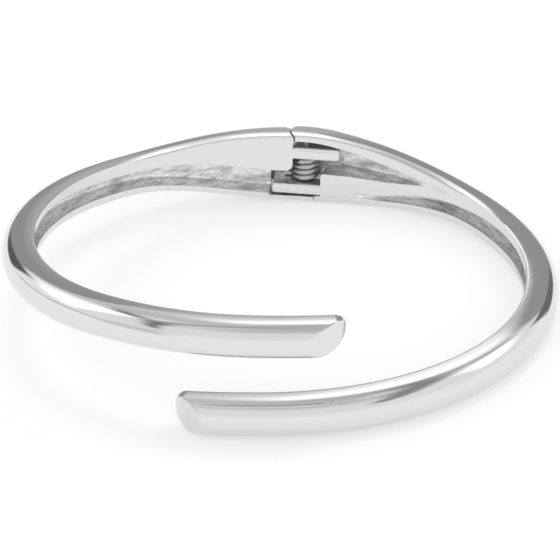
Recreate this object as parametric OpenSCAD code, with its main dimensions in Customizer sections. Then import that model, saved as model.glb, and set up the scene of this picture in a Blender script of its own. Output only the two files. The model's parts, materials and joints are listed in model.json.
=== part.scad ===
// Hinged bypass bangle: two cast half-hoops on a sprung hinge, with front arms that pass one above the other.
// The halves are drawn about the middle of the wrist oval, with the hinge at +Y and the joined
// mid-height at Z = 0, then tipped together onto the three points that they rest on.
// Angles along a half are counted from the hinge. The left half goes round by -X, the right by +X.

/* [Wrist oval] */
// Width of the wrist opening, side to side
inner_w = 60; // [54:0.5:68]
// Depth of the wrist opening, front to back
inner_d = 50.2; // [45:0.1:57]
// Fullness of the oval, where 2 is an ellipse
oval_power = 2.07; // [2:0.01:2.3]

/* [Band] */
// Height of the band at the hinge
hinge_h = 9.6; // [9.4:0.1:11]
// Depth of the band at the hinge, inner face to outer face
hinge_t = 5.4; // [5.2:0.1:6.4]
// Height of an arm at its tip
tip_h = 4.4; // [3.8:0.1:5.5]
// Depth of an arm at its tip
tip_t = 3.8; // [3.2:0.1:4.6]
// How far an arm's middle climbs or drops from the hinge to its tip
tip_rise = 5.9; // [5:0.1:8]
// Angle from the hinge to the end of the left arm
left_arm = 203; // [190:1:212]
// Angle from the hinge to the end of the right arm
right_arm = 200; // [190:1:212]
// Length of an arm's last, straighter stretch
straight_l = 10; // [6:0.5:14]
// How far that stretch ends outside the oval
straight_by = 0.6; // [0:0.1:1.4]
// Rounding of the band's inner edges
edge_r = 0.5; // [0.3:0.05:0.7]
// Length of the rounding at an arm's end, at its top edge
top_corner_l = 1.4; // [0.8:0.1:2]
// Height of that rounding
top_corner_h = 1; // [0.6:0.1:1.1]
// Length of the rounding at an arm's end, at its lower edge
low_corner_l = 4.5; // [3.5:0.1:5.5]
// Height of that rounding
low_corner_h = 3; // [1.5:0.1:3]
// Length over which an arm's outer face rounds in to its end
side_l = 6.8; // [5:0.1:8]
// Depth left at an arm's very end
end_t = 0.5; // [0.5:0.05:1]

/* [Hollow inner side] */
// Height of the lip along an open edge
lip_w = 1; // [0.8:0.05:1.2]
// Depth of the hollow along the arms
groove_d = 2.3; // [1.6:0.1:2.4]
// Depth of the right half's upper hollow, next to the hinge
upper_groove_d = 3; // [2:0.1:3.2]
// Slope of the hollow's side walls, as a run inward over its depth
groove_draft = 0.15; // [0.05:0.05:0.25]
// Length of an arm's solid end beyond the hollow
tip_solid = 8; // [7:0.5:20]

/* [Hinge] */
// Distance of the pin's axis from the inner face
pin_inset = 2.6; // [2.5:0.05:2.7]
// Diameter of the pin
pin_d = 1.2; // [1:0.05:1.3]
// Radial clearance of the pin in the ear that turns on it
pin_play = 0.03; // [0.01:0.01:0.06]
// Gap between the halves
split_gap = 0.15; // [0.1:0.01:0.2]
// Gap over and beside an ear
ear_gap = 0.15; // [0.1:0.01:0.2]
// How far the lips' noses pass the pin's axis
nose_reach = 1.9; // [1.7:0.05:2]
// Height of the lips' noses
nose_h = 0.8; // [0.6:0.05:0.85]
// Top of the left half's ear
ear_l_top = 3.05; // [2.9:0.05:3.2]
// Underside of the left half's ear
ear_l_low = 1.3; // [1.2:0.05:1.4]
// Top of the right half's ear
ear_r_top = -2.3; // [-2.4:0.05:-2.2]
// Underside of the right half's ear
ear_r_low = -3.85; // [-3.9:0.05:-3.7]
// Reach of the left half's ear past the pin's axis
ear_l_reach = 4.8; // [4:0.1:5.2]
// Reach of the right half's ear past the pin's axis
ear_r_reach = 4.4; // [4:0.1:5.2]
// Depth of an ear behind the pin's axis
ear_back = 1.15; // [1.05:0.05:1.2]
// Rounding of an ear's corners
ear_corner = 0.5; // [0.3:0.05:0.6]
// Distance of the left half's web end from the pin's axis
web_l_end = 1.5; // [1.4:0.05:1.7]
// Distance of the right half's web end from the pin's axis
web_r_end = 2.2; // [2:0.05:2.4]
// Angle that the hinge opens, which the cut-backs at the outer seam leave room for
open_angle = 45; // [30:1:45]

/* [Spring] */
// Outer diameter of the torsion spring
spring_d = 3.9; // [3.6:0.05:3.95]
// Diameter of the spring's wire
wire_d = 0.75; // [0.6:0.05:0.75]
// Turns of the spring
spring_turns = 3.5; // [2.5:1:3.5]
// Length of each of the spring's short legs
leg_l = 1.2; // [0.6:0.1:1.4]
// Gap around the spring
spring_gap = 0.1; // [0.05:0.01:0.15]

/* [Hidden] */
metal = [0.82, 0.82, 0.83];
steel = [0.45, 0.45, 0.47];

// Sections of each half, by the angle from the hinge. Rise is a share of tip_rise. Height and depth
// are shares of what the hinge has over the tip. Fullness shapes the outer face: low is squarer.
// Every table is stretched so that its last row falls at the end of its arm.
ANGLE = 0;
RISE = 1;
HEIGHT = 2;
DEPTH = 3;
FULL = 4;
LEFT_SECTIONS = [
  [0, 0, 1, 1, 0.41],
  [18, 0.02, 0.854, 0.53, 0.42],
  [45, 0.106, 0.175, 0.21, 0.54],
  [60, 0.149, 0.096, 0.186, 0.54],
  [90, 0.31, 0.013, 0.152, 0.54],
  [120, 0.483, 0.021, 0.131, 0.54],
  [150, 0.743, 0.004, 0.053, 0.54],
  [203, 0.989, -0.007, -0.016, 0.54]
];
RIGHT_SECTIONS = [
  [0, -0.014, 1.03, 1, 0.41],
  [18, 0.02, 0.79, 0.461, 0.42],
  [45, 0.107, 0.137, 0.174, 0.54],
  [60, 0.203, 0.051, 0.146, 0.54],
  [90, 0.353, -0.032, 0.126, 0.54],
  [120, 0.498, 0.006, 0.081, 0.54],
  [150, 0.689, 0.055, 0.064, 0.54],
  [200, 0.994, 0.055, 0.016, 0.54]
];

// Edges of the hollows, by the angle from the hinge, as shares of the height from the bottom edge.
// Web is the rim above the lower hollow. The upper hollow lies between its floor rim and its top rim.
WEB = 1;
FLOOR = 2;
TOP = 3;
LEFT_RIMS = [
  [0, 0.46, 0.8, 0.84],
  [10, 0.46, 0.8, 0.84],
  [19, 0.49, 0.8, 0.84],
  [30, 0.58, 0.8, 0.84],
  [44, 0.64, 0.8, 0.84],
  [60, 0.67, 0.8, 0.84],
  [84, 0.76, 0.8, 0.84],
  [203, 0.77, 0.8, 0.84]
];
RIGHT_RIMS = [
  [0, 0.12, 0.45, 0.9],
  [13, 0.12, 0.46, 0.86],
  [22, 0.19, 0.48, 0.81],
  [30, 0.31, 0.55, 0.77],
  [37, 0.42, 0.66, 0.75],
  [46, 0.53, 0.74, 0.8],
  [60, 0.68, 0.78, 0.83],
  [84, 0.76, 0.8, 0.84],
  [200, 0.77, 0.8, 0.84]
];
// Depth of the right half's hollows, as shares of upper_groove_d and groove_d
UPPER = 1;
LOWER = 2;
RIGHT_DEPTHS = [
  [0, 1, 0],
  [14, 0.95, 0],
  [24, 0.7, 0.45],
  [32, 0.35, 0.8],
  [38, 0, 0.95],
  [48, 0, 1],
  [200, 0, 1]
];
LEFT_DEPTHS = [
  [0, 0, 0.95],
  [20, 0, 0.95],
  [40, 0, 1],
  [203, 0, 1]
];

least_web = 0.08;      // least height of the lower hollow, as a share
least_floor = 0.04;    // least height of the upper hollow, as a share
most_lip = 0.3;        // most height of the lower lip, as a share
most_edge = 0.16;      // most rounding of the inner edges, as a share
past_hinge = -8;       // the sweeps start this far past the hinge line and are cut back at the hinge
near_end = 60;         // the stations are closer together up to this angle
near_step = 4;
far_step = 5;
tip_span = 15;         // angle over which the tip's stations crowd towards its end
tip_steps = 8;
tip_stop = 0.05;       // the last station stops this far short of the end
side_proud = 0.4;      // the rounding in would meet the outer face this far outside it: a soft crease
dome_steps = 7;        // facets from the middle of the outer face to its edge
dome_crowd = 1.8;      // crowds the outer face's points towards its edges
dome_end = 89.5;       // where the outer face ends, in degrees round its section
corner_steps = 2;
corner_step = 30;      // facets of a rounded corner, in degrees
fade_span = 4;         // angle over which the hollow runs out before the tip
cut = 20;              // reach of a cutting block beyond the metal
past = 1;              // how far a cut runs past a face
lap = 0.02;            // how far neighbouring cuts overlap
half_step = 0.01;      // angle used to find the oval's direction
round_fn = 64;
pin_y = inner_d / 2 + pin_inset;
lip_z = hinge_h / 2 - nose_h;
skin_inset = 0.05;              // the skin round the pin lies this far within the band's outer face
knuckle_r = hinge_t - pin_inset - skin_inset;
swept_r = knuckle_r + split_gap;
spring_room_r = spring_d / 2 + spring_gap;
nose_r = 2;
nose_x = nose_r - nose_reach;
nose_y = inner_d / 2 + 1.5;
seam_angle = 77 + open_angle;   // where a half's outer edge is cut back to, seen from the pin
shell_end = 90 + open_angle;    // how far the skin curls round the pin
inside_angle = 45;              // slant of the cut that opens the inner side for an ear to swing out
corner_angle = 128;             // direction of the cut-back behind a nose
corner_back = 0.4;              // how far that cut-back lies behind the middle of the nose
ear_root = 3.4;                 // how far an ear runs back into its half
ear_relief = 0.25;              // how far the ear's root lies in front of the pin's axis
pin_seat = 0.01;                // radial clearance of the pin in the ear that holds it
pin_end_gap = 0.05;             // gap at each end of the pin
coil_r = (spring_d - wire_d) / 2;
coil_gap = 0.05;                // gap between the coil and an ear
coil_start = 180;               // direction of the coil's lower end
spring_low = ear_r_top + coil_gap + wire_d / 2;
spring_rise = ear_l_low - ear_r_top - 2 * coil_gap - wire_d;
wire_steps = 16;
wire_sides = 8;
rest_nose = -4;                 // the left half's nose at its lower lip touches the surface at this angle,
rest_side = 85;                 // the right half's lower edge at this angle,
rest_step = 2;                  // and its tip at this one of the tip's stations
nose_point = 1;                 // the points of the outline that touch there
side_point = 2;
tip_point = 0;

// Smooth interpolation of one column of a table, level at the first row
function slope(t, c, i) =
  i == 0 ? 0
  : i == len(t) - 1 ? (t[i][c] - t[i - 1][c]) / (t[i][ANGLE] - t[i - 1][ANGLE])
  : (t[i + 1][c] - t[i - 1][c]) / (t[i + 1][ANGLE] - t[i - 1][ANGLE]);
function row(t, a, i = 0) = i >= len(t) - 2 || a < t[i + 1][ANGLE] ? i : row(t, a, i + 1);
function blend(p0, p1, m0, m1, u) =
  (2 * u * u * u - 3 * u * u + 1) * p0 + (u * u * u - 2 * u * u + u) * m0
  + (3 * u * u - 2 * u * u * u) * p1 + (u * u * u - u * u) * m1;
function at(t, c, angle, arm) =
  let (a = angle * t[len(t) - 1][ANGLE] / arm)
  a <= t[0][ANGLE] ? t[0][c]
  : let (i = row(t, a), w = t[i + 1][ANGLE] - t[i][ANGLE], u = (a - t[i][ANGLE]) / w)
    blend(t[i][c], t[i + 1][c], slope(t, c, i) * w, slope(t, c, i + 1) * w, u);

// The wrist oval: radius, point and outward normal at a compass angle
function oval_r(q) =
  let (x = abs(cos(q)) * 2 / inner_w, y = abs(sin(q)) * 2 / inner_d)
  pow(pow(x, oval_power) + pow(y, oval_power), -1 / oval_power);
function oval(q) = oval_r(q) * [cos(q), sin(q)];
function oval_out(q) =
  let (d = oval(q + half_step) - oval(q - half_step)) [d[1], -d[0]] / norm(d);

// The rounded end of an arm: 1 along the arm, falling to 0 at its end over the length r
function end_share(left, r) = left >= r ? 1 : sqrt(max(0, 1 - pow(1 - left / r, 2)));
tip_radius = norm(oval(90 + right_arm)) + tip_t / 2;
function arm_of(side) = side > 0 ? left_arm : right_arm;
function sections(side) = side > 0 ? LEFT_SECTIONS : RIGHT_SECTIONS;
function to_end(a, arm) = (arm - a) * PI / 180 * tip_radius;
function groove_end(arm) = arm - tip_solid * 180 / PI / tip_radius;
function tip_station(arm, k) = arm - tip_span * pow(1 - k / tip_steps, 2) - tip_stop;

function share(column, a, side) = at(sections(side), column, a, arm_of(side));
function section_h(a, side) = tip_h + (hinge_h - tip_h) * share(HEIGHT, a, side);
function section_t(a, side) = tip_t + (hinge_t - tip_t) * share(DEPTH, a, side);
function rise(a, side) = tip_rise * share(RISE, a, side);
function outward(left) = straight_by * pow(max(0, 1 - left / straight_l), 2);

// One section as [outward, up] points, anticlockwise from the inner bottom edge. The inner side is
// flat, with the rims of the two hollows, and each hollow's floor lies between its rims.
function dome(h, t, p, most) =
  [for (k = [0 : 2 * dome_steps])
    let (u = (k - dome_steps) / dome_steps,
         a = sign(u) * dome_end * (1 - pow(1 - abs(u), dome_crowd)))
    [min(most, max(t * pow(cos(a), p), edge_r)), h / 2 * sin(a)]];
function hollow(lo, hi, d) =
  let (draft = min(groove_draft, (hi - lo) / 3))
  [[0, hi], [d, hi - draft], [d, lo + draft], [0, lo]];
function edge(h, up) =
  [for (k = [0 : corner_steps])
    let (r = min(edge_r, most_edge * h),
         a = up ? 90 + k * 90 / (corner_steps + 1) : 180 + (k + 1) * 90 / (corner_steps + 1))
    [r + r * cos(a), (up ? 1 : -1) * (h / 2 - r) + r * sin(a)]];
function outline(a, rims, depths, side) =
  let (arm = arm_of(side),
       left = to_end(a, arm),
       off_top = top_corner_h * (1 - end_share(left, top_corner_l)),
       off_low = low_corner_h * (1 - end_share(left, low_corner_l)),
       h = section_h(a, side) - off_top - off_low,
       t = section_t(a, side),
       most = end_t + (t + side_proud - end_t) * end_share(left, side_l),
       middle = side * rise(a, side) + (off_low - off_top) / 2,
       ends = groove_end(arm),
       fade = a < ends ? 1 : max(0, 1 - (a - ends) / fade_span),
       lip = min(lip_w / h, most_lip),
       web = max(at(rims, WEB, a, arm), lip + least_web),
       floor = at(rims, FLOOR, a, arm),
       top = max(at(rims, TOP, a, arm), floor + least_floor),
       upper_d = upper_groove_d * at(depths, UPPER, a, arm),
       lower_d = fade * groove_d * at(depths, LOWER, a, arm))
  [for (p = concat(
      dome(h, t, share(FULL, a, side), most),
      [for (k = [1 : corner_steps]) edge(h, true)[k]],
      hollow((floor - 0.5) * h, (top - 0.5) * h, upper_d),
      hollow((lip - 0.5) * h, (web - 0.5) * h, lower_d),
      [for (k = [0 : corner_steps - 1]) edge(h, false)[k]]))
    [p[0] + outward(left), p[1] + middle]];

// Stations along a half: close together round the hinge and at the rounded tip
function stations(arm) =
  let (far_end = arm - tip_span, far_steps = round((far_end - near_end) / far_step))
  concat(
    [for (a = [past_hinge : near_step : near_end]) a],
    [for (k = [1 : far_steps - 1]) near_end + k * (far_end - near_end) / far_steps],
    [for (k = [0 : tip_steps]) tip_station(arm, k)]);
function place(a, side, p) =
  let (q = 90 + side * a) concat(oval(q) + p[0] * oval_out(q), [p[1]]);

module sweep(side, rims, depths) {
  rings =
    [for (a = stations(arm_of(side))) [for (p = outline(a, rims, depths, side)) place(a, side, p)]];
  n = len(rings[0]);
  m = len(rings);
  points = concat([for (r = rings) each r], [mean(rings[0]), mean(rings[m - 1])]);
  sides = [for (i = [0 : m - 2], j = [0 : n - 1])
    let (k = (j + 1) % n, a = i * n + j, b = i * n + k, c = a + n, d = b + n)
    each [[a, c, b], [b, c, d]]];
  ends = concat(
    [for (j = [0 : n - 1]) [n * m, j, (j + 1) % n]],
    [for (j = [0 : n - 1]) [n * m + 1, (m - 1) * n + (j + 1) % n, (m - 1) * n + j]]);
  faces = concat(sides, ends);
  polyhedron(points, side < 0 ? faces : [for (f = faces) [f[0], f[2], f[1]]]);
}
function mean(r) = [for (i = [0 : 2]) sum([for (p = r) p[i]]) / len(r)];
function sum(v, i = 0) = i == len(v) ? 0 : v[i] + sum(v, i + 1);

// Three points of the outer faces' lower edges carry the bangle on a flat surface
function foot(side, a, point) = place(a, side, outline(a, RIGHT_RIMS, RIGHT_DEPTHS, side)[point]);
foot_nose = foot(1, rest_nose, nose_point);
foot_side = foot(-1, rest_side, side_point);
foot_tip = foot(-1, tip_station(right_arm, rest_step), tip_point);
rest_up = let (v = cross(foot_tip - foot_nose, foot_side - foot_nose)) v / norm(v) * sign(v[2]);
rest_drop = -rest_up * foot_nose;
module at_rest() {
  tilt = acos(rest_up[2]);
  axis = cross(rest_up, [0, 0, 1]);
  translate([0, 0, rest_drop]) rotate(a = tilt, v = axis) children();
}

// A block between two heights, from one X to another, through the whole depth
module block(x0, x1, z0, z1) {
  translate([x0, inner_d / 2 - cut, z0]) cube([x1 - x0, 2 * cut, z1 - z0]);
}
module post(x, y, r, z0, z1) {
  translate([x, y, z0]) cylinder(h = z1 - z0, r = r, $fn = round_fn);
}
module wedge(from, to, z0, z1) {
  translate([0, pin_y, z0]) linear_extrude(z1 - z0)
    polygon([[0, 0], cut * [cos(from), sin(from)], cut * [cos(to), sin(to)]]);
}

// An ear in plan, with its root on the left: it reaches past the pin, its front is flush with the
// inner face, and behind its root the other half's skin has room to turn.
module ear(reach, z0, z1) {
  r = ear_corner;
  translate([0, pin_y, z0]) linear_extrude(z1 - z0) {
    polygon(concat(
      [[-ear_root, -pin_inset], [-ear_root, -ear_relief], [0, -ear_relief], [0, ear_back]],
      [for (a = [90 : -corner_step : 0]) [reach - r + r * cos(a), ear_back - r + r * sin(a)]],
      [for (a = [0 : -corner_step : -90]) [reach - r + r * cos(a), r - pin_inset + r * sin(a)]]));
    circle(r = ear_back, $fn = round_fn);
  }
}

// What a half gives up at the hinge, drawn for the left half. Above mid-height it makes room for the
// other half's skin and nose, and below mid-height it ends in its own skin and nose.
module given_up(web_end, web_low, other_reach) {
  top = hinge_h;
  step = -split_gap / 2;
  lip_low = lip_z - split_gap;
  // the web's end and the window that shows the spring
  block(-web_end, cut, step, lip_low);
  translate([-web_end, inner_d / 2 - cut, web_low]) cube([cut, cut + pin_inset, lip_low - web_low]);
  // room for the other half's skin, and for it to turn
  post(0, pin_y, swept_r, step, lip_low);
  wedge(-inside_angle, seam_angle, step, top);
  // the other half's nose, with this half's outer corner cut back behind it
  post(nose_x, nose_y, nose_r + split_gap, lip_low - lap, top);
  block(nose_x, cut, lip_low - lap, top);
  translate([nose_x - nose_r - split_gap, nose_y + corner_back, lip_low - lap])
    rotate(corner_angle) translate([0, -cut, 0]) cube([cut, cut, top]);
  // this half's own skin curls round the pin below mid-height
  difference() {
    block(0, cut, -lip_z, step + lap);
    post(0, pin_y, knuckle_r, -lip_z - past, lip_z);
  }
  wedge(-90, 180 - shell_end, -lip_z, step + lap);
  wedge(-90 - inside_angle, -90, -lip_z, min(step, web_low));
  post(0, pin_y, spring_room_r, -lip_z, lip_low);
  // this half's own nose at its lower lip
  difference() {
    block(-nose_x, cut, -top, -lip_z + lap);
    post(-nose_x, nose_y, nose_r, -top - past, lip_z);
  }
  // the pocket for the other half's ear
  translate([-other_reach - ear_gap, inner_d / 2 - cut, -lip_z])
    cube([other_reach + ear_gap + cut, cut + pin_inset + ear_back + ear_gap, lip_z + web_low]);
}

module turned_over() { rotate([0, 180, 0]) children(); }

module left_form() {
  difference() {
    union() {
      difference() {
        sweep(1, LEFT_RIMS, LEFT_DEPTHS);
        given_up(web_l_end, (LEFT_RIMS[0][WEB] - 0.5) * hinge_h, ear_r_reach);
      }
      ear(ear_l_reach, ear_l_low, ear_l_top);
    }
    post(0, pin_y, pin_d / 2 + pin_play, ear_l_low - past, ear_l_top + past / 2);
  }
}
module right_form() {
  difference() {
    union() {
      difference() {
        sweep(-1, RIGHT_RIMS, RIGHT_DEPTHS);
        turned_over() given_up(web_r_end, (0.5 - RIGHT_RIMS[0][FLOOR]) * hinge_h, ear_l_reach);
      }
      turned_over() ear(ear_r_reach, -ear_r_top, -ear_r_low);
    }
    post(0, pin_y, pin_d / 2 + pin_seat, ear_r_low - split_gap, ear_r_top + past / 2);
  }
}

// The spring: a coil with a short leg out to the left at its foot and another to the right at its
// top. Its rings of points stand square to the wire, and at 45 degrees where a leg meets the coil.
function wire_out(u) = let (a = coil_start + 360 * spring_turns * u) [cos(a), sin(a), 0];
function wire_along(u) = let (o = wire_out(u)) [-o[1], o[0], 0];
function wire_point(u) = coil_r * wire_out(u) + [0, 0, spring_low + spring_rise * u];
function wire_ring(p, across) =
  [for (j = [0 : wire_sides - 1])
    let (a = 360 * j / wire_sides) p + wire_d / 2 * (cos(a) * across + [0, 0, sin(a)])];
module spring_form() {
  steps = ceil(wire_steps * spring_turns);
  foot_end = wire_point(0) + leg_l * wire_out(0);
  top_end = wire_point(1) + leg_l * wire_out(1);
  rings = concat(
    [wire_ring(foot_end, wire_along(0))],
    [wire_ring(wire_point(0), wire_out(0) + wire_along(0))],
    [for (k = [1 : steps - 1]) wire_ring(wire_point(k / steps), wire_out(k / steps))],
    [wire_ring(wire_point(1), wire_out(1) - wire_along(1))],
    [wire_ring(top_end, -wire_along(1))]);
  m = len(rings);
  n = wire_sides;
  translate([0, pin_y, 0])
    polyhedron(
      concat([for (r = rings) each r], [foot_end, top_end]),
      concat(
        [for (i = [0 : m - 2], j = [0 : n - 1])
          let (k = (j + 1) % n, a = i * n + j, b = i * n + k, c = a + n, d = b + n)
          each [[a, b, c], [b, d, c]]],
        [for (j = [0 : n - 1]) [n * m, (j + 1) % n, j]],
        [for (j = [0 : n - 1]) [n * m + 1, (m - 1) * n + j, (m - 1) * n + (j + 1) % n]]));
}
module pin_form() {
  post(0, pin_y, pin_d / 2, -lip_z + pin_end_gap, lip_z - split_gap - pin_end_gap);
}

module left_half() color(metal) at_rest() left_form();
module right_half() color(metal) at_rest() right_form();
module torsion_spring() color(steel) at_rest() spring_form();
module hinge_pin() color(steel) at_rest() pin_form();

left_half();
right_half();
torsion_spring();
hinge_pin();
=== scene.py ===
import json
import math

import bmesh
import bpy
import numpy as np
from mathutils import Matrix, Vector, noise


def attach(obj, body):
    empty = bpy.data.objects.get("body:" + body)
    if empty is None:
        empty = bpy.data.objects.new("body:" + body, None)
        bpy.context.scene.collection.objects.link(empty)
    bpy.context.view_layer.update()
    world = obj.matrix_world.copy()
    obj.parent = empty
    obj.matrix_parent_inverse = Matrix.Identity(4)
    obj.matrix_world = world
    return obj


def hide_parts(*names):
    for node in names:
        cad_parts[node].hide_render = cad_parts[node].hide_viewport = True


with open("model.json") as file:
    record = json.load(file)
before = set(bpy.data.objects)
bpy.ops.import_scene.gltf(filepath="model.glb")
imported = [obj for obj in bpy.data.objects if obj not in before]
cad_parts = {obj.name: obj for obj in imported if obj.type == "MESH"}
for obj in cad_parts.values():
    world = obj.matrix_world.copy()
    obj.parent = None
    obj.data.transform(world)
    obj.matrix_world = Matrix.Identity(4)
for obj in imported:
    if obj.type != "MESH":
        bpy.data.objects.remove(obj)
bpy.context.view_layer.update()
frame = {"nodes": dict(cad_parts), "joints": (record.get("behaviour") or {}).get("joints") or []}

MM = 0.001
TINY = 1e-9

# Driving sizes of the bangle, in millimetres, and its angles in degrees
INNER_W = 60.0
INNER_D = 50.2
OVAL_POWER = 2.07
# height (H) and depth (T) of the section at the hinge and at the tips, and each arm's length
HINGE_H = 9.6
HINGE_T = 5.4
TIP_H = 4.4
TIP_T = 3.8
TIP_RISE = 5.9
LEFT_ARM = 203.0
RIGHT_ARM = 200.0
# the hollows on the inner side
LIP_W = 1.0
GROOVE_D = 2.3
UPPER_GROOVE_D = 3.0
GROOVE_DRAFT = 0.15
TIP_SOLID = 8.0
# the hinge: pin, gaps, the step between the halves (the nose), the ears and the webs beside them
PIN_INSET = 2.6
PIN_D = 1.2
SPLIT_GAP = 0.15
EAR_GAP = 0.15
NOSE_REACH = 1.9
NOSE_H = 0.8
NOSE_R = 2.0
NOSE_BACK = 1.5
NOSE_CORNER = 0.4
NOSE_TURN = 128
EAR_L_TOP = 3.05
EAR_L_LOW = 1.3
EAR_R_TOP = -2.3
EAR_R_LOW = -3.85
EAR_L_REACH = 4.8
EAR_R_REACH = 4.4
EAR_BACK = 1.15
EAR_ROOT = 3.4
EAR_STEP = 0.25
EAR_BACK_FROM = 168
EAR_CORNER = 0.55
EAR_EDGE = 0.45
WEB_L_END = 1.5
WEB_R_END = 2.2
WEB_CORNER_L = 1.1
WEB_CORNER_R = 0.4
OPEN_ANGLE = 45.0
SPRING_D = 3.9
WIRE_D = 0.75
SPRING_TURNS = 3.5
LEG_L = 1.2
SPRING_GAP = 0.1
SKIN_INSET = 0.05
COIL_GAP = 0.05
PIN_PLAY = 0.03
PIN_GRIP = 0.01

# Sections of each half: angle from the hinge, then shares of the rise, height and depth, then the
# fullness of the outer face
LEFT_SECTIONS = np.array([
    (0, 0, 1, 1, 0.41),
    (18, 0.02, 0.854, 0.53, 0.42),
    (45, 0.106, 0.175, 0.21, 0.54),
    (60, 0.149, 0.096, 0.186, 0.54),
    (90, 0.31, 0.013, 0.152, 0.54),
    (120, 0.483, 0.021, 0.131, 0.54),
    (150, 0.743, 0.004, 0.053, 0.54),
    (203, 0.989, -0.007, -0.016, 0.54),
])
RIGHT_SECTIONS = np.array([
    (0, -0.014, 1.03, 1, 0.41),
    (18, 0.02, 0.79, 0.461, 0.42),
    (45, 0.107, 0.137, 0.174, 0.54),
    (60, 0.203, 0.051, 0.146, 0.54),
    (90, 0.353, -0.032, 0.126, 0.54),
    (120, 0.498, 0.006, 0.081, 0.54),
    (150, 0.689, 0.055, 0.064, 0.54),
    (200, 0.994, 0.055, 0.016, 0.54),
])
RISE, HEIGHT, DEPTH, FULL = 1, 2, 3, 4

# Rims of the hollows: angle, then shares of the height for the web's rim and the upper hollow's rims
WEB, FLOOR, TOP = 1, 2, 3
LEFT_RIMS = np.array([
    (0, 0.46, 0.8, 0.84),
    (10, 0.46, 0.8, 0.84),
    (19, 0.49, 0.8, 0.84),
    (30, 0.58, 0.8, 0.84),
    (44, 0.64, 0.8, 0.84),
    (60, 0.67, 0.8, 0.84),
    (84, 0.76, 0.8, 0.84),
    (203, 0.77, 0.8, 0.84),
])
RIGHT_RIMS = np.array([
    (0, 0.12, 0.45, 0.9),
    (13, 0.12, 0.46, 0.86),
    (22, 0.19, 0.48, 0.81),
    (30, 0.31, 0.55, 0.77),
    (37, 0.42, 0.66, 0.75),
    (46, 0.53, 0.74, 0.8),
    (60, 0.68, 0.78, 0.83),
    (84, 0.76, 0.8, 0.84),
    (200, 0.77, 0.8, 0.84),
])
# Depths of the upper and the lower hollow, as shares
UPPER, LOWER = 1, 2
RIGHT_DEPTHS = np.array([
    (0, 1, 0),
    (14, 0.95, 0),
    (24, 0.7, 0.45),
    (32, 0.35, 0.8),
    (38, 0, 0.95),
    (48, 0, 1),
    (200, 0, 1),
])
LEFT_DEPTHS = np.array([
    (0, 0, 0.95),
    (20, 0, 0.95),
    (40, 0, 1),
    (203, 0, 1),
])

PIN_Y = INNER_D / 2 + PIN_INSET
LIP_Z = HINGE_H / 2 - NOSE_H
KNUCKLE_R = HINGE_T - PIN_INSET - SKIN_INSET


def hinge_to_rest():
    """From the hinge's frame, with the hinge at +Y and its pin upright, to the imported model"""
    joint = frame["joints"][0]
    up = -Vector(joint["axis"])
    turn = Vector((0, 0, 1)).rotation_difference(up).to_matrix().to_4x4()
    pin = turn @ Vector((0, PIN_Y * MM, 0))
    return Matrix.Translation(Vector(joint["pos_m"]) - pin) @ turn


REST = hinge_to_rest()


def smooth_at(table, column, angle):
    """Cubic interpolation of one column of a table, level at its first row"""
    x, y = table[:, 0], table[:, column]
    a = np.clip(np.atleast_1d(angle).astype(float), x[0], None)
    slope = np.zeros(len(x))
    slope[1:-1] = (y[2:] - y[:-2]) / (x[2:] - x[:-2])
    slope[-1] = (y[-1] - y[-2]) / (x[-1] - x[-2])
    i = np.clip(np.searchsorted(x, a, side="right") - 1, 0, len(x) - 2)
    w = x[i + 1] - x[i]
    u = (a - x[i]) / w
    return (
        (2 * u**3 - 3 * u**2 + 1) * y[i]
        + (u**3 - 2 * u**2 + u) * w * slope[i]
        + (3 * u**2 - 2 * u**3) * y[i + 1]
        + (u**3 - u**2) * w * slope[i + 1]
    )


def oval(q):
    """A point of the wrist oval and the way out from it, at compass angles q in degrees"""
    def point(q):
        c, s = np.cos(np.radians(q)), np.sin(np.radians(q))
        reach = (np.abs(c * 2 / INNER_W) ** OVAL_POWER + np.abs(s * 2 / INNER_D) ** OVAL_POWER)
        return np.stack([c, s], -1) * (reach ** (-1 / OVAL_POWER))[..., None]
    nearby = 0.01
    d = point(q + nearby) - point(q - nearby)
    out = np.stack([d[..., 1], -d[..., 0]], -1)
    return point(q), out / np.linalg.norm(out, axis=-1, keepdims=True)


def end_share(left, r):
    """Share of the full height at a distance left from the tip, whose corner has the radius r"""
    return np.where(left >= r, 1, np.sqrt(np.clip(1 - (1 - np.clip(left, 0, r) / r) ** 2, 0, 1)))


# Materials. Each pattern: the width of its patches in millimetres and the noise's detail
GLOSS_PATCHES = (1.8, 2.0)
WAVES = (3.5, 0.0)
SCRATCHES = (0.35, 2.0)
MARKS = (0.8, 1.0)
GRAIN = (0.35, 4.0)
BLOTCHES = (0.9, 3.0)
DULL = (0.25, 3.0)
# how many times longer the patches are along the arms, or the marks along the hinge
GRAIN_STRETCH = 2.0
BLOTCH_STRETCH = 4.0
MARK_STRETCH = 4.0
# the part of the noise's range over which each goes from one look to the other
GLOSS_RANGE = (0.35, 0.65)
MARK_RANGE = (0.64, 0.7)
GRAIN_RANGE = (0.3, 0.6)
BLOTCH_RANGE = (0.34, 0.52)
DULL_RANGE = (0.3, 0.7)
# shades and roughness at both ends of that range
POLISH_COLOUR = (0.75, 0.75, 0.752, 1)
POLISH_GLOSS = (0.035, 0.075)
GRAIN_SHADES = (0.66, 0.95)
BLOTCH_SHADES = (0.68, 1.0)
CAST_GLOSS = (0.5, 0.3)
WIRE_SHADES = (0.36, 0.62)
WIRE_GLOSS = (0.24, 0.42)
# heights of the relief and radii of the softened edges, in millimetres
POLISH_WAVE = 0.006
POLISH_SCRATCH = 0.0006
POLISH_MARK = 0.005
CAST_LUMP = 0.08
CAST_PIT = 0.05
WIRE_GRAIN = 0.006
CAST_EDGE = 0.1
HINGE_EDGE = 0.14
BEVEL_SAMPLES = 6


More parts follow.
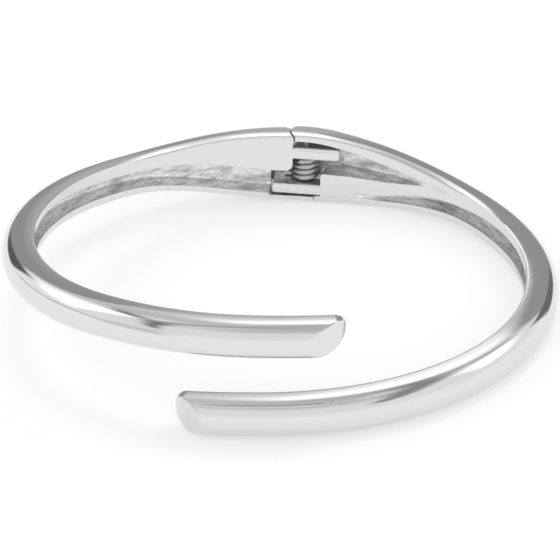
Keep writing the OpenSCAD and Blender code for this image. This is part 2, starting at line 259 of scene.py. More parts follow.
def wired(tree, kind, *values, **settings):
    """A node of that kind with its inputs set or linked in turn; returns its first output"""
    node = tree.nodes.new(kind)
    for name, value in settings.items():
        setattr(node, name, value)
    for socket, value in zip(node.inputs, values):
        if isinstance(value, bpy.types.NodeSocket):
            tree.links.new(value, socket)
        elif value is not None:
            socket.default_value = value
    return node.outputs[0]


def maths(tree, operation, *values):
    return wired(tree, "ShaderNodeMath", *values, operation=operation)


def ramp(tree, value, start, end):
    """0 up to start and 1 from end on"""
    return wired(tree, "ShaderNodeMapRange", value, start, end, 0.0, 1.0, interpolation_type="SMOOTHSTEP")


def metal(name):
    """A plain metal; returns it with its tree, its shader's inputs and the piece's coordinates"""
    made = bpy.data.materials.new(name)
    made.use_nodes = True
    tree = made.node_tree
    shader = tree.nodes["Principled BSDF"]
    shader.inputs["Metallic"].default_value = 1
    place = tree.nodes.new("ShaderNodeTexCoord").outputs["Object"]
    return made, tree, shader.inputs, place


def noisy(tree, place, size, detail):
    """Noise whose patches are about that many millimetres wide"""
    return wired(tree, "ShaderNodeTexNoise", place, None, 1 / (size * MM), detail)


def softened(tree, radius):
    """The normal with edges rounded by that many millimetres"""
    return wired(tree, "ShaderNodeBevel", radius * MM, samples=BEVEL_SAMPLES)


def bumped(tree, height, pattern, normal=None):
    """The normal over a pattern that is that many millimetres high"""
    return wired(tree, "ShaderNodeBump", 1.0, height * MM, None, pattern, normal)


def grey(tree, shade):
    return wired(tree, "ShaderNodeCombineColor", shade, shade, shade)


def between(tree, value, limits, looks):
    """Goes from the first look to the second one as the value goes from one limit to the other"""
    return wired(tree, "ShaderNodeMapRange", value, *limits, *looks)


def polished_metal(name, edge):
    """Hand polish: it waves a little, and its gloss changes from place to place"""
    made, tree, inputs, place = metal(name)
    inputs["Base Color"].default_value = POLISH_COLOUR
    gloss = between(tree, noisy(tree, place, *GLOSS_PATCHES), GLOSS_RANGE, POLISH_GLOSS)
    tree.links.new(gloss, inputs["Roughness"])
    normal = softened(tree, edge) if edge else None
    normal = bumped(tree, POLISH_WAVE, noisy(tree, place, *WAVES), normal)
    normal = bumped(tree, POLISH_SCRATCH, noisy(tree, place, *SCRATCHES), normal)
    if edge:
        # a few long marks, pressed in, on the faces by the hinge
        drawn = tree.nodes.new("ShaderNodeMapping")
        tree.links.new(place, drawn.inputs["Vector"])
        drawn.inputs["Scale"].default_value = (1 / MARK_STRETCH, 1, 1)
        marks = ramp(tree, noisy(tree, drawn.outputs[0], *MARKS), *MARK_RANGE)
        normal = bumped(tree, -POLISH_MARK, marks, normal)
    tree.links.new(normal, inputs["Normal"])
    return made


def along_arm(tree, place, stretch):
    """Coordinates in which patterns are drawn out along the arms: a circle, and radius with height"""
    parts = tree.nodes.new("ShaderNodeSeparateXYZ")
    tree.links.new(place, parts.inputs[0])
    x, y, z = parts.outputs
    squares = maths(tree, "MULTIPLY", x, x), maths(tree, "MULTIPLY", y, y)
    radius = maths(tree, "SQRT", maths(tree, "ADD", *squares))
    shrink = maths(tree, "DIVIDE", INNER_W / 2 * MM / stretch, radius)
    round_x, round_y = maths(tree, "MULTIPLY", x, shrink), maths(tree, "MULTIPLY", y, shrink)
    return wired(tree, "ShaderNodeCombineXYZ", round_x, round_y, maths(tree, "ADD", radius, z))


def cast_metal(name):
    """As-cast walls: dull, pitted and streaked, darker in the pits"""
    made, tree, inputs, place = metal(name)
    grain = noisy(tree, along_arm(tree, place, GRAIN_STRETCH), *GRAIN)
    blotch = noisy(tree, along_arm(tree, place, BLOTCH_STRETCH), *BLOTCHES)
    shade = between(tree, grain, GRAIN_RANGE, GRAIN_SHADES)
    shade = maths(tree, "MULTIPLY", shade, between(tree, blotch, BLOTCH_RANGE, BLOTCH_SHADES))
    tree.links.new(grey(tree, shade), inputs["Base Color"])
    tree.links.new(between(tree, blotch, GLOSS_RANGE, CAST_GLOSS), inputs["Roughness"])
    lumps = bumped(tree, CAST_LUMP, blotch, softened(tree, CAST_EDGE))
    tree.links.new(bumped(tree, CAST_PIT, grain, lumps), inputs["Normal"])
    return made


def wire_metal(name):
    """Drawn spring wire, duller than the polish"""
    made, tree, inputs, place = metal(name)
    dull = noisy(tree, place, *DULL)
    tree.links.new(grey(tree, between(tree, dull, DULL_RANGE, WIRE_SHADES)), inputs["Base Color"])
    tree.links.new(between(tree, dull, DULL_RANGE, WIRE_GLOSS), inputs["Roughness"])
    tree.links.new(bumped(tree, WIRE_GRAIN, dull), inputs["Normal"])
    return made


polished = polished_metal("polished_metal", 0)
hinge_polish = polished_metal("hinge_polish", HINGE_EDGE)
cast = cast_metal("cast_metal")
steel = wire_metal("spring_steel")

# Meshes of the two halves. Stations along an arm, in degrees from the hinge: from where, to where, step
NEAR_STATIONS = (-8.0, 30, 0.75)
FAR_STATIONS = (30, 184, 1.2)
TIP_FROM = 185.2
TIP_STATIONS = 56
# Points of a section: the outer face, each rounded corner, and the stretches between the corners
DOME_POINTS = 72
DOME_FINE = 401
DOME_CROWDING = 2.5
ROUND_POINTS = 5
FILLS = [1, 4, 6, 6, 6, 8, 6, 10, 6, 3, 1]
# Corners: inner edges, rims and floors of the hollows, then the largest share of a side that a corner
# takes and the least that an outer corner leaves
EDGE_R = 0.18
RIM_R = 0.13
HOLLOW_R = 0.4
MOST_OF_SIDE = 0.48
LEAST_OF_SIDE = 0.3
# Shares of the height: largest lower lip, smallest lower hollow, smallest upper hollow
MOST_LIP = 0.3
LEAST_WEB = 0.08
LEAST_HOLLOW = 0.04
# Degrees over which the lower hollow fades out before the tip
HOLLOW_FADE = 4
# The rims fall towards the inner edges: how far in from there, how much, its largest share of the
# height, and the angles at which this has ended and over which it fades
CROWN_REACH = 1.6
CROWN_DROP = 0.16
CROWN_SHARE = 0.05
CROWN_END = 66.0
CROWN_FADE = 26.0
TIP_RADIUS = float(np.linalg.norm(oval(np.array([90 + RIGHT_ARM]))[0])) + TIP_T / 2
# Each tip, seen from outside: how far along the arm and how high its rounded corners reach
TOP_CORNER = (1.4, 1.0)
LOW_CORNER = (4.5, 3.0)
# Seen from above: how far the outer side rounds in, what is left at the end, and how far it stands
# proud of the outer face there, which makes a soft crease
SIDE_REACH = 4.9
SIDE_BOW = 0.8
SIDE_LEFT = 0.4
SIDE_PROUD = 0.4
SIDE_FROM = 1.5
CREASE_R = 0.1
# The arms' last stretch is straighter than the oval
STRAIGHT_REACH = 10.0
STRAIGHT_BY = 0.6


def stations(arm):
    """Angles of the sections, closer together at the hinge and towards the tip"""
    tip = arm - (arm - TIP_FROM) * (1 - np.linspace(0, 1, TIP_STATIONS)) ** 2
    return np.concatenate([np.arange(*NEAR_STATIONS), np.arange(*FAR_STATIONS), tip])


def spread(points, count):
    """Points along each row's curve, evenly in length and in turning"""
    step = np.diff(points, axis=1)
    length = np.linalg.norm(step, axis=2)
    way = np.unwrap(np.arctan2(step[..., 1], step[..., 0]), axis=1)
    turn = np.zeros_like(length)
    turn[:, 1:] = np.abs(np.diff(way, axis=1))
    share = np.cumsum(length / length.sum(1, keepdims=True) + turn / turn.sum(1, keepdims=True), axis=1)
    share = np.concatenate([np.zeros((len(points), 1)), share / share[:, -1:]], axis=1)
    at = np.linspace(0, 1, count)
    return np.stack([
        np.stack([np.interp(at, share[i], points[i, :, k]) for k in (0, 1)], -1) for i in range(len(points))
    ])


def dome(h, t, full):
    """The outer face of each section, from its bottom edge to its top edge"""
    end = np.arccos(np.clip((EDGE_R / t) ** (1 / full), 0, 1))
    u = np.linspace(-1, 1, DOME_FINE)
    a = end[:, None] * np.sign(u) * (1 - (1 - np.abs(u)) ** DOME_CROWDING)
    n = t[:, None] * np.cos(a) ** full[:, None]
    z = h[:, None] / 2 * np.sin(a) / np.sin(end)[:, None]
    return spread(np.stack([n, z], -1), DOME_POINTS)


def inner_path(corners, radii, fills):
    """A path through corners, each rounded, with points filled in between them"""
    pieces = []
    last = None
    for j in range(1, len(corners) - 1):
        before, here, after = corners[j - 1], corners[j], corners[j + 1]
        back, on = before - here, after - here
        lb = np.linalg.norm(back, axis=1, keepdims=True)
        lo = np.linalg.norm(on, axis=1, keepdims=True)
        # the band's own edges come first, and leave the next corner its rounding
        most_back = lb if j == 1 else MOST_OF_SIDE * lb
        most_on = lo if j == len(corners) - 2 else MOST_OF_SIDE * lo
        if j == 1:
            most_on = np.maximum(lo - RIM_R, LEAST_OF_SIDE * lo)
        if j == len(corners) - 2:
            most_back = np.maximum(lb - RIM_R, LEAST_OF_SIDE * lb)
        reach = np.minimum(radii[j], np.minimum(most_back, most_on))
        p = here + back / np.maximum(lb, TINY) * reach
        q = here + on / np.maximum(lo, TINY) * reach
        start = corners[0] if last is None else last
        for k in range(1, fills[j - 1]):
            pieces.append(start + (p - start) * k / fills[j - 1])
        for k in range(ROUND_POINTS + 1):
            u = k / ROUND_POINTS
            pieces.append((1 - u) ** 2 * p + 2 * u * (1 - u) * here + u**2 * q)
        last = q
    for k in range(1, fills[-1]):
        pieces.append(last + (corners[-1] - last) * k / fills[-1])
    return np.stack(pieces, 1)


def straightened(angles, arm):
    """How far the arm's last stretch moves out"""
    left = np.radians(arm - angles) * TIP_RADIUS
    return STRAIGHT_BY * np.clip(1 - left / STRAIGHT_REACH, 0, 1) ** 2


def sections(angles, arm, table, rims, depths, side):
    """Rings of [outward, up] points: the outer face upwards, then the inner side downwards"""
    left = np.radians(arm - angles) * TIP_RADIUS
    h = TIP_H + (HINGE_H - TIP_H) * smooth_at(table, HEIGHT, angles)
    off_top = TOP_CORNER[1] * (1 - end_share(left, TOP_CORNER[0]))
    off_low = LOW_CORNER[1] * (1 - end_share(left, LOW_CORNER[0]))
    h = h - off_top - off_low
    t = TIP_T + (HINGE_T - TIP_T) * smooth_at(table, DEPTH, angles)
    full = smooth_at(table, FULL, angles)
    rise = side * TIP_RISE * smooth_at(table, RISE, angles) + (off_low - off_top) / 2
    groove_end = arm - math.degrees(TIP_SOLID / TIP_RADIUS)
    fade = np.clip(1 - (angles - groove_end) / HOLLOW_FADE, 0, 1)
    lip = np.minimum(LIP_W / h, MOST_LIP)
    web = np.maximum(smooth_at(rims, WEB, angles), lip + LEAST_WEB)
    floor = smooth_at(rims, FLOOR, angles)
    top = np.maximum(smooth_at(rims, TOP, angles), floor + LEAST_HOLLOW)
    upper = UPPER_GROOVE_D * smooth_at(depths, UPPER, angles)
    lower = fade * GROOVE_D * smooth_at(depths, LOWER, angles)
    zero = np.zeros_like(h)

    def pair(n, z):
        return np.stack([n, z], -1)

    def hollow(lo, hi, d):
        z_lo, z_hi = (lo - 0.5) * h, (hi - 0.5) * h
        draft = np.minimum(GROOVE_DRAFT, (z_hi - z_lo) / 3)
        return [pair(zero, z_hi), pair(d, z_hi - draft), pair(d, z_lo + draft), pair(zero, z_lo)]

    outer = dome(h, t, full)
    crown = np.minimum(CROWN_DROP, CROWN_SHARE * h) * np.clip((CROWN_END - angles) / CROWN_FADE, 0, 1)
    slope = np.clip(1 - outer[..., 0] / CROWN_REACH, 0, 1) ** 2
    outer[..., 1] -= np.sign(outer[..., 1]) * crown[:, None] * slope
    edge_z = h / 2 - crown
    side_n = SIDE_LEFT + (t + SIDE_PROUD - SIDE_LEFT) * (left / SIDE_REACH) ** SIDE_BOW
    near = left < SIDE_FROM * SIDE_REACH
    both = np.stack(np.broadcast_arrays(outer[near, :, 0], side_n[near, None]))
    outer[near, :, 0] = -CREASE_R * np.log(np.exp(-both / CREASE_R).sum(0))
    corners = [outer[:, -1], pair(zero, edge_z)]
    corners += hollow(floor, top, upper) + hollow(lip, web, lower)
    corners += [pair(zero, -edge_z), outer[:, 0]]
    radii = [0, EDGE_R] + [RIM_R, HOLLOW_R, HOLLOW_R, RIM_R] * 2 + [EDGE_R, 0]
    ring = np.concatenate([outer, inner_path(corners, radii, FILLS)], 1)
    ring[..., 1] += rise[:, None]
    ring[..., 0] += straightened(angles, arm)[:, None]
    return ring


def hinge_points(angles, side, ring):
    """Points of the hinge's frame, in millimetres, for rings of [outward, up] points"""
    p, out = oval(90 + side * angles)
    flat = p[:, None] + ring[..., :1] * out[:, None]
    return np.concatenate([flat, ring[..., 1:]], -1)


# As-cast walls: depth from which a wall is left rough and over which it gets fully rough, height of its
# waves, their lengths along the arm and across it, and how high and how many times finer the second are
CAST_FROM = 0.1
CAST_OVER = 0.5
CAST_WAVE = 0.07
CAST_LONG = 1.6
CAST_ACROSS = 0.45
FINER_SHARE = 0.6
FINER_LONG = 2.3
FINER_ACROSS = 2.1
# Points of the inner path, at either end, that are never rough
EDGE_POINTS = ROUND_POINTS + 4
POLISHED, CAST = 0, 1


def roughened(angles, arm, rings):
    """Waves the hollows' walls as they came from the mould; returns which points are rough"""
    inner = np.arange(DOME_POINTS + EDGE_POINTS, rings.shape[1] - EDGE_POINTS)
    depth = rings[:, inner, 0] - straightened(angles, arm)[:, None]
    rough = np.zeros(rings.shape[:2], bool)
    rough[:, inner] = depth > CAST_FROM
    for i in range(len(angles)):
        along = math.radians(angles[i]) * INNER_W / 2 / CAST_LONG
        for j in inner[rough[i, inner]]:
            n, z = rings[i, j]
            share = min(1, (n - CAST_FROM) / CAST_OVER)
            n, z = n / CAST_ACROSS, z / CAST_ACROSS
            wave = noise.noise((along, n, z))
            wave += FINER_SHARE * noise.noise((along * FINER_LONG, n * FINER_ACROSS, z * FINER_ACROSS))
            rings[i, j, 0] += CAST_WAVE * share * wave
    return rough


def swept_mesh(name, side, arm, table, rims, depths):
    """A half before its cuts; side is 1 for the left one and -1 for the right one"""
    angles = stations(arm)
    rings = sections(angles, arm, table, rims, depths, side)
    rough = roughened(angles, arm, rings)
    points = hinge_points(angles, side, rings)
    m, n = points.shape[:2]
    bm = bmesh.new()
    rings = [[bm.verts.new(p) for p in ring] for ring in points]
    for i in range(m - 1):
        for j in range(n):
            k = (j + 1) % n
            quad = [rings[i][j], rings[i][k], rings[i + 1][k], rings[i + 1][j]]
            face = bm.faces.new(quad if side > 0 else quad[::-1])
            face.material_index = CAST if rough[i, j] and rough[i, k] else POLISHED
    close_end(bm, rings[0])
    close_end(bm, rings[-1])
    bmesh.ops.recalc_face_normals(bm, faces=bm.faces)
    mesh = bpy.data.meshes.new(name)
    mesh.materials.append(polished)
    mesh.materials.append(cast)
    bm.to_mesh(mesh)
    bm.free()
    return mesh


END_RINGS = (0.6, 0.25)


def close_end(bm, ring):
    """Closes an end with smaller rings inside it and a middle point"""
    middle = sum((v.co for v in ring), Vector()) / len(ring)
    outer = ring
    for share in END_RINGS:
        inner = [bm.verts.new(middle + (v.co - middle) * share) for v in ring]
        for j in range(len(ring)):
            k = (j + 1) % len(ring)
            bm.faces.new([outer[j], outer[k], inner[k], inner[j]])
        outer = inner
    centre = bm.verts.new(middle)
    for j in range(len(ring)):
        bm.faces.new([outer[j], outer[(j + 1) % len(ring)], centre])


# Solids that the hinge is cut with, drawn in its frame in millimetres: how far a cut reaches, how far
# a cutter stands past a face and laps over its neighbour, and sides of round ones
CUT = 20.0
PAST = 1.0
LAP = 0.02
POST_SIDES = 128
WEDGE_POINTS = 5
EAR_POINTS = 8
EAR_BACK_POINTS = 12
WEB_CORNER_POINTS = 16
BEVEL_STEPS = 8


def solid(make):
    """An object whose mesh is drawn by the given function"""
    bm = bmesh.new()
    make(bm)
    bmesh.ops.recalc_face_normals(bm, faces=bm.faces)
    mesh = bpy.data.meshes.new("cutter")
    mesh.materials.append(cast)
    bm.to_mesh(mesh)
    bm.free()
    made = bpy.data.objects.new("cutter", mesh)
    bpy.context.scene.collection.objects.link(made)
    return made


def prism(outline, z0, z1):
    """A solid with that outline, seen from above, from z0 up to z1"""
    def make(bm):
        low = [bm.verts.new((x, y, z0)) for x, y in outline]
        high = [bm.verts.new((x, y, z1)) for x, y in outline]
        bm.faces.new(low[::-1])
        bm.faces.new(high)
        for j in range(len(low)):
            k = (j + 1) % len(low)
            bm.faces.new([low[j], low[k], high[k], high[j]])
    return solid(make)


def block(x0, x1, y0, y1, z0, z1):
    return prism([(x0, y0), (x1, y0), (x1, y1), (x0, y1)], z0, z1)


def post(x, y, r, z0, z1):
    ring = [2 * math.pi * k / POST_SIDES for k in range(POST_SIDES)]
    return prism([(x + r * math.cos(a), y + r * math.sin(a)) for a in ring], z0, z1)


def wedge(start, end, z0, z1):
    """What lies between two angles, in degrees, as seen from the pin"""
    rim = [math.radians(a) for a in np.linspace(start, end, WEDGE_POINTS)]
    points = [(0, PIN_Y)] + [(CUT * math.cos(a), PIN_Y + CUT * math.sin(a)) for a in rim]
    return prism(points, z0, z1)


def combine(target, other, operation):
    """Applies one boolean to target and removes the other solid"""
    step = target.modifiers.new("cut", "BOOLEAN")
    step.operation = operation
    step.solver = "MANIFOLD"
    step.material_mode = "TRANSFER"
    step.object = other
    depsgraph = bpy.context.evaluated_depsgraph_get()
    mesh = bpy.data.meshes.new_from_object(target.evaluated_get(depsgraph))
    target.modifiers.clear()
    old = target.data
    target.data = mesh
    bpy.data.meshes.remove(old)
    bpy.data.objects.remove(other)
    return target


def turned(made):
    """Turns a solid of the left half over, for the right half"""
    made.data.transform(Matrix.Rotation(math.pi, 4, "Y"))
    return made


def arc(x, y, r, start, end, count):
    """Points of an arc round (x, y), between two angles in degrees"""
    turn = np.radians(np.linspace(start, end, count))
    return [(x + r * math.cos(a), y + r * math.sin(a)) for a in turn]


def ear(reach, z0, z1):
    """An ear, from its root in its half to its rounded end, with softened edges"""
    r = EAR_CORNER
    front = PIN_Y - PIN_INSET
    points = [(-EAR_ROOT, front), (-EAR_ROOT, PIN_Y - EAR_STEP), (-EAR_BACK, PIN_Y - EAR_STEP)]
    points += arc(0, PIN_Y, EAR_BACK, EAR_BACK_FROM, 90, EAR_BACK_POINTS)
    points += arc(reach - r, PIN_Y + EAR_BACK - r, r, 90, 0, EAR_POINTS)
    points += arc(reach - r, front + r, r, 0, -90, EAR_POINTS)
    made = prism(points[::-1], z0, z1)
    bm = bmesh.new()
    bm.from_mesh(made.data)
    level = [e for e in bm.edges if abs(e.verts[0].co.z - e.verts[1].co.z) < TINY]
    bmesh.ops.bevel(bm, geom=level, offset=EAR_EDGE, segments=BEVEL_STEPS, profile=0.5, affect="EDGES")
    bmesh.ops.recalc_face_normals(bm, faces=bm.faces)
    bm.to_mesh(made.data)
    bm.free()
    made.data.materials.clear()
    made.data.materials.append(hinge_polish)
    return made


def side_prism(points, y0, y1):
    """A prism whose outline is seen from the front"""
    made = prism(points, -y1, -y0)
    made.data.transform(Matrix.Rotation(math.pi / 2, 4, "X"))
    return made


def ear_ceiling():
    """What the right half keeps over the left ear: its lip gets thicker towards the ear's end"""
    top = LIP_Z + LAP
    end = EAR_L_REACH + 2 * EAR_GAP
    points = [(-WEB_L_END, top), (end, top), (end, EAR_L_TOP + 2 * EAR_GAP), (-WEB_L_END, LIP_Z)]
    return side_prism(points, -PAST, INNER_D)


def web_corner(x, z, r):
    """What rounds a web's corner, seen from the front"""
    points = [(x + PAST, z - PAST), (x + PAST, z + r)]
    points += arc(x - r, z + r, r, 0, -90, WEB_CORNER_POINTS)
    points += [(x - r, z - PAST)]
    return side_prism(points, -PAST, PIN_Y)


# Angles of the wedges, in degrees as seen from the pin: what the other half sweeps over while it opens,
# and from where the other ear needs room
SWEEP_FROM = -45
SWEEP_TO = 77
EAR_ROOM_FROM = -135


def given_up(web_end, web_low, other_reach, corner_r):
    """The solids that a half gives up at the hinge, drawn for the left half"""
    top = HINGE_H
    step = -SPLIT_GAP / 2
    lip_low = LIP_Z - SPLIT_GAP
    front = INNER_D / 2 - CUT
    back = INNER_D / 2 + CUT
    nose_x = NOSE_R - NOSE_REACH
    nose_y = INNER_D / 2 + NOSE_BACK
    cuts = [
        block(-web_end, CUT, front, PIN_Y, step, lip_low),
        web_corner(-web_end, web_low, corner_r),
        block(-web_end, CUT, front, PIN_Y, web_low, lip_low),
        post(0, PIN_Y, KNUCKLE_R + SPLIT_GAP, step, lip_low),
        wedge(SWEEP_FROM, SWEEP_TO + OPEN_ANGLE, step, top),
        post(nose_x, nose_y, NOSE_R + SPLIT_GAP, lip_low - LAP, top),
        block(nose_x, CUT, front, back, lip_low - LAP, top),
    ]
    corner = block(0, CUT, -CUT, 0, 0, top)
    corner.data.transform(
        Matrix.Translation((nose_x - NOSE_R - SPLIT_GAP, nose_y + NOSE_CORNER, lip_low - LAP))
        @ Matrix.Rotation(math.radians(NOSE_TURN), 4, "Z")
    )
    cuts.append(corner)
    beyond = block(0, CUT, front, back, -LIP_Z, step + LAP)
    cuts.append(combine(beyond, post(0, PIN_Y, KNUCKLE_R, -LIP_Z - PAST, LIP_Z), "DIFFERENCE"))
    cuts.append(wedge(-90, 90 - OPEN_ANGLE, -LIP_Z, step + LAP))
    cuts.append(wedge(EAR_ROOM_FROM, -90, -LIP_Z, min(step, web_low)))
    cuts.append(post(0, PIN_Y, SPRING_D / 2 + SPRING_GAP, -LIP_Z, lip_low))
    lower = block(-nose_x, CUT, front, back, -top, -LIP_Z + LAP)
    cuts.append(combine(lower, post(-nose_x, nose_y, NOSE_R, -top - PAST, LIP_Z), "DIFFERENCE"))
    cuts.append(block(-other_reach - EAR_GAP, CUT, front, PIN_Y + EAR_BACK + EAR_GAP, -LIP_Z, web_low))
    return cuts


# How far from the pin the softened edges go, and how upright the normal of a level face is
HINGE_REACH = 12.0
LEVEL = 0.95
# Edges sharper than this stay sharp, in degrees
SHARP = 32


def near_hinge(mesh):
    """Leaves the level cuts as cast, and gives the polish near them its softened edges"""
    finishes = [polished, cast, hinge_polish]
    known = {finish.name: finish for finish in finishes}
    order = [known.get(m.name if m else "", polished) for m in mesh.materials]
    chosen = []
    for face in mesh.polygons:
        material = order[face.material_index]
        x, y, z = face.center
        level = abs(face.normal.z) > LEVEL and abs(z) < LIP_Z
        if level and abs(x) < EAR_L_REACH + 2 * EAR_GAP and y > 0:
            material = cast
        if material == polished and abs(x) < HINGE_REACH and y > 0:
            material = hinge_polish
        chosen.append(material)
    mesh.materials.clear()
    for material in finishes:
        mesh.materials.append(material)
    mesh.polygons.foreach_set("material_index", [finishes.index(m) for m in chosen])


def half(name, side, arm, table, rims, depths):
    """One finished half, cut at the hinge, with its ear and bore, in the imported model's place"""
    mesh = swept_mesh(name, side, arm, table, rims, depths)
    made = bpy.data.objects.new(name, mesh)
    bpy.context.scene.collection.objects.link(made)
    if side > 0:
        cuts = given_up(WEB_L_END, (rims[0][WEB] - 0.5) * HINGE_H, EAR_R_REACH, WEB_CORNER_L)
        own_ear = ear(EAR_L_REACH, EAR_L_LOW, EAR_L_TOP)
        bore = post(0, PIN_Y, PIN_D / 2 + PIN_PLAY, EAR_L_LOW - PAST, EAR_L_TOP + PAST / 2)
    else:
        web_low = (0.5 - rims[0][FLOOR]) * HINGE_H
        cuts = [turned(c) for c in given_up(WEB_R_END, web_low, EAR_L_REACH, WEB_CORNER_R)]
        for cutter in cuts:
            combine(cutter, ear_ceiling(), "DIFFERENCE")
        own_ear = turned(ear(EAR_R_REACH, -EAR_R_TOP, -EAR_R_LOW))
        bore = post(0, PIN_Y, PIN_D / 2 + PIN_GRIP, EAR_R_LOW - SPLIT_GAP, EAR_R_TOP + PAST / 2)
    for cutter in cuts:
        combine(made, cutter, "DIFFERENCE")
    combine(made, own_ear, "UNION")
    combine(made, bore, "DIFFERENCE")
    near_hinge(made.data)
    made.data.transform(REST @ Matrix.Scale(MM, 4))
    made.data.shade_smooth()
    made.data.set_sharp_from_angle(angle=math.radians(SHARP))
    return made


left = half("left_shell", 1, LEFT_ARM, LEFT_SECTIONS, LEFT_RIMS, LEFT_DEPTHS)
right = half("right_shell", -1, RIGHT_ARM, RIGHT_SECTIONS, RIGHT_RIMS, RIGHT_DEPTHS)
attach(left, "left_side")
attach(right, "right_side")
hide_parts("left_half")
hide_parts("right_half")


# The wound spring, smoother than the CAD's
COIL_SIDES = 24
COIL_STEPS = 40
WIRE_SHARP = 40


def spring():
    """The coil with its two straight legs, mitred where they meet it"""
    r = (SPRING_D - WIRE_D) / 2
    low = EAR_R_TOP + COIL_GAP + WIRE_D / 2
    rise = EAR_L_LOW - EAR_R_TOP - 2 * COIL_GAP - WIRE_D
    count = round(COIL_STEPS * SPRING_TURNS)
    up = Vector((0, 0, 1))

    def out(u):
        a = math.pi + 2 * math.pi * SPRING_TURNS * u
        return Vector((math.cos(a), math.sin(a), 0))

    def along(u):
        return up.cross(out(u))

    def point(u):
        return r * out(u) + up * (low + rise * u)

    rings = [(point(0) + LEG_L * out(0), along(0)), (point(0), out(0) + along(0))]
    rings += [(point(k / count), out(k / count)) for k in range(1, count)]
    rings += [(point(1), out(1) - along(1)), (point(1) + LEG_L * out(1), -along(1))]
    bm = bmesh.new()
    turn = [2 * math.pi * k / COIL_SIDES for k in range(COIL_SIDES)]
    made = [
        [bm.verts.new(c + WIRE_D / 2 * (math.cos(a) * across + math.sin(a) * up)) for a in turn]
        for c, across in rings
    ]
    for one, two in zip(made, made[1:]):
        for j in range(COIL_SIDES):
            k = (j + 1) % COIL_SIDES
            bm.faces.new([one[j], one[k], two[k], two[j]])
    bm.faces.new(made[0])
    bm.faces.new(made[-1])
    bmesh.ops.recalc_face_normals(bm, faces=bm.faces)
    mesh = bpy.data.meshes.new("wound_spring")
    bm.to_mesh(mesh)
    bm.free()
    mesh.transform(REST @ Matrix.Translation((0, PIN_Y * MM, 0)) @ Matrix.Scale(MM, 4))
    mesh.shade_smooth()
    mesh.set_sharp_from_angle(angle=math.radians(WIRE_SHARP))
    piece = bpy.data.objects.new("wound_spring", mesh)
    bpy.context.scene.collection.objects.link(piece)
    return piece


wound = spring()
wound.data.materials.append(steel)
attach(wound, "right_side")
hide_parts("torsion_spring")
frame["nodes"]["hinge_pin"].data.materials.clear()
frame["nodes"]["hinge_pin"].data.materials.append(steel)

# Camera at the photo's angle, in the hinge's frame
CAMERA_UP = 29.58
CAMERA_ROUND = -6.65
CAMERA_ROLL = -0.76
CAMERA_FAR = 300.65
FOCAL_PX = 2455.1
CENTRE_PX = (280.49, 263.09)
PHOTO_PX = 560
SENSOR_MM = 36
NEAREST = 0.01
FARTHEST = 20


def make_camera():
    el, psi, roll = (math.radians(v) for v in (CAMERA_UP, CAMERA_ROUND, CAMERA_ROLL))
    forward = Vector((0, math.cos(el), -math.sin(el)))
    right_way = Vector((1, 0, 0))
    up = Vector((0, math.sin(el), math.cos(el)))
    right_way, up = (
        math.cos(roll) * right_way - math.sin(roll) * up,
        math.sin(roll) * right_way + math.cos(roll) * up,
    )
    aim = forward
    aim = aim + right_way * (PHOTO_PX / 2 - CENTRE_PX[0]) / FOCAL_PX
    aim = (aim - up * (PHOTO_PX / 2 - CENTRE_PX[1]) / FOCAL_PX).normalized()
    up = (up - aim * up.dot(aim)).normalized()
    back = -aim
    turn = Matrix((up.cross(back), up, back)).transposed().to_4x4()
    place = Matrix.Translation((0, -CAMERA_FAR * math.cos(el) * MM, CAMERA_FAR * math.sin(el) * MM))
    data = bpy.data.cameras.new("camera")
    data.sensor_width = SENSOR_MM
    data.lens = FOCAL_PX / PHOTO_PX * SENSOR_MM
    data.clip_start = NEAREST
    data.clip_end = FARTHEST
    camera = bpy.data.objects.new("camera", data)
    bpy.context.scene.collection.objects.link(camera)
    camera.matrix_world = REST @ Matrix.Rotation(-psi, 4, "Z") @ place @ turn
    bpy.context.scene.camera = camera


make_camera()

# A white floor that is lit from below as well, as on a light table
FLOOR_SIZE = 6
FLOOR_WHITE = 0.66
FLOOR_GLOW = 0.415
bpy.ops.mesh.primitive_plane_add(size=FLOOR_SIZE, location=(0, 0, 0))
floor = bpy.context.object
floor.name = "floor"
white = bpy.data.materials.new("floor_white")
white.use_nodes = True
paint = white.node_tree.nodes["Principled BSDF"].inputs
paint["Base Color"].default_value = (FLOOR_WHITE, FLOOR_WHITE, FLOOR_WHITE, 1)
paint["Roughness"].default_value = 1
paint["Specular IOR Level"].default_value = 0
paint["Emission Color"].default_value = (1, 1, 1, 1)
paint["Emission Strength"].default_value = FLOOR_GLOW
floor.data.materials.append(white)

# The studio round the bangle, by compass angle (0 behind it, 90 to its right) and height in
# degrees: first and last angle and softness, first and last height and softness, how far the low
# and the high edge bend towards each other at both ends, brightness
ROUND = (-400, 400, 1)
STUDIO = [
    (ROUND, (26, 200, 14), (0, 0), 0.88),
    (ROUND, (74, 200, 12), (0, 0), 0.6),
    ((-26, 12, 6), (48, 200, 6), (0, 0), 0.55),
    ((-27, -11, 4), (30, 62, 4), (0, 0), 0.62),
    ((-145, -60, 8), (20.5, 25, 2.2), (-12, 12), 0.5),
    ((-143, -116, 5), (12, 32, 5), (0, 0), 0.7),
    ((-132, -27, 8), (63, 70, 3.5), (-22, 22), 0.22),
    ((-62, -12, 6), (63, 71, 2.5), (0, 0), 0.42),
    ((3, 140, 8), (65, 76, 4), (-18, 18), 0.3),
    ((-95, -25, 8), (32, 61, 5), (2, 40), 1.35),
    ((11, 20, 3), (40, 56, 4), (0, 0), 0.5),
    ((22, 80, 6), (41, 60, 4), (2, 12), 1.35),
    ((-12, 6, 4), (35, 48, 5), (0, 0), 1.4),
    ((-56, 12, 3), (0, 29.5, 2), (20, 17), 0.33),
    ((-54, -31, 4), (6, 30, 4), (2, 14), 0.12),
    ((-16, 46, 3), (0, 38, 2), (12, 28), 0.34),
    ((25, 46, 4), (4, 34, 4), (2, 14), 0.17),
    ((-12, 4, 4), (-5, 30, 4), (0, 0), 0.5),
]
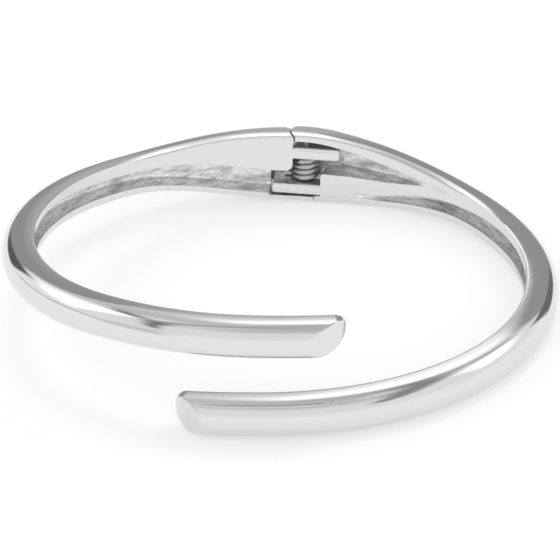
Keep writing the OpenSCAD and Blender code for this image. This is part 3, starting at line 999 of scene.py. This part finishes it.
STUDIO_STRENGTH = 1.04


def patch(tree, round_way, height, sides, heights, bends):
    """1 inside one row of the table and 0 outside it"""
    (first, last, blur), (low, high, haze), (low_bend, high_bend) = sides, heights, bends
    share = maths(tree, "SUBTRACT", round_way, (first + last) / 2)
    share = maths(tree, "DIVIDE", share, (last - first) / 2)
    bend = maths(tree, "MULTIPLY", share, share)
    over = maths(tree, "SUBTRACT", height, maths(tree, "MULTIPLY", bend, low_bend))
    under = maths(tree, "ADD", height, maths(tree, "MULTIPLY", bend, high_bend))
    above = ramp(tree, over, low - haze, low + haze)
    below = ramp(tree, under, high + haze, high - haze)
    level = maths(tree, "MULTIPLY", above, below)
    after = ramp(tree, round_way, first - blur, first + blur)
    before = ramp(tree, round_way, last + blur, last - blur)
    return maths(tree, "MULTIPLY", level, maths(tree, "MULTIPLY", after, before))


def studio():
    """A world whose brightness is 1, changed row by row by the table"""
    world = bpy.data.worlds.new("studio")
    bpy.context.scene.world = world
    world.use_nodes = True
    tree = world.node_tree
    place = tree.nodes.new("ShaderNodeTexCoord").outputs["Generated"]
    parts = tree.nodes.new("ShaderNodeSeparateXYZ")
    tree.links.new(place, parts.inputs[0])
    x, y, z = parts.outputs
    round_way = maths(tree, "DEGREES", maths(tree, "ARCTAN2", x, y))
    height = maths(tree, "DEGREES", maths(tree, "ARCSINE", z))
    level = 1.0
    for sides, heights, bends, brightness in STUDIO:
        mask = patch(tree, round_way, height, sides, heights, bends)
        change = maths(tree, "MULTIPLY", maths(tree, "SUBTRACT", brightness, level), mask)
        level = maths(tree, "ADD", level, change)
    tree.links.new(level, tree.nodes["Background"].inputs["Color"])
    tree.nodes["Background"].inputs["Strength"].default_value = STUDIO_STRENGTH


studio()


# One lamp: strength, the way to it in the hinge's frame, and how wide it is, in degrees
SUN = 0.3
SUN_WAY = (0.079, 0.149, 1)
SUN_WIDTH = 17


def sun():
    """A soft light from above and a little behind that isn't mirrored in the metal"""
    data = bpy.data.lights.new("overhead", "SUN")
    data.angle = math.radians(SUN_WIDTH)
    data.energy = SUN
    made = bpy.data.objects.new("overhead", data)
    made.visible_glossy = False
    way = REST.to_3x3() @ Vector(SUN_WAY)
    made.matrix_world = Vector((0, 0, 1)).rotation_difference(way).to_matrix().to_4x4()
    bpy.context.scene.collection.objects.link(made)


sun()
bpy.context.scene.view_settings.view_transform = "Standard"
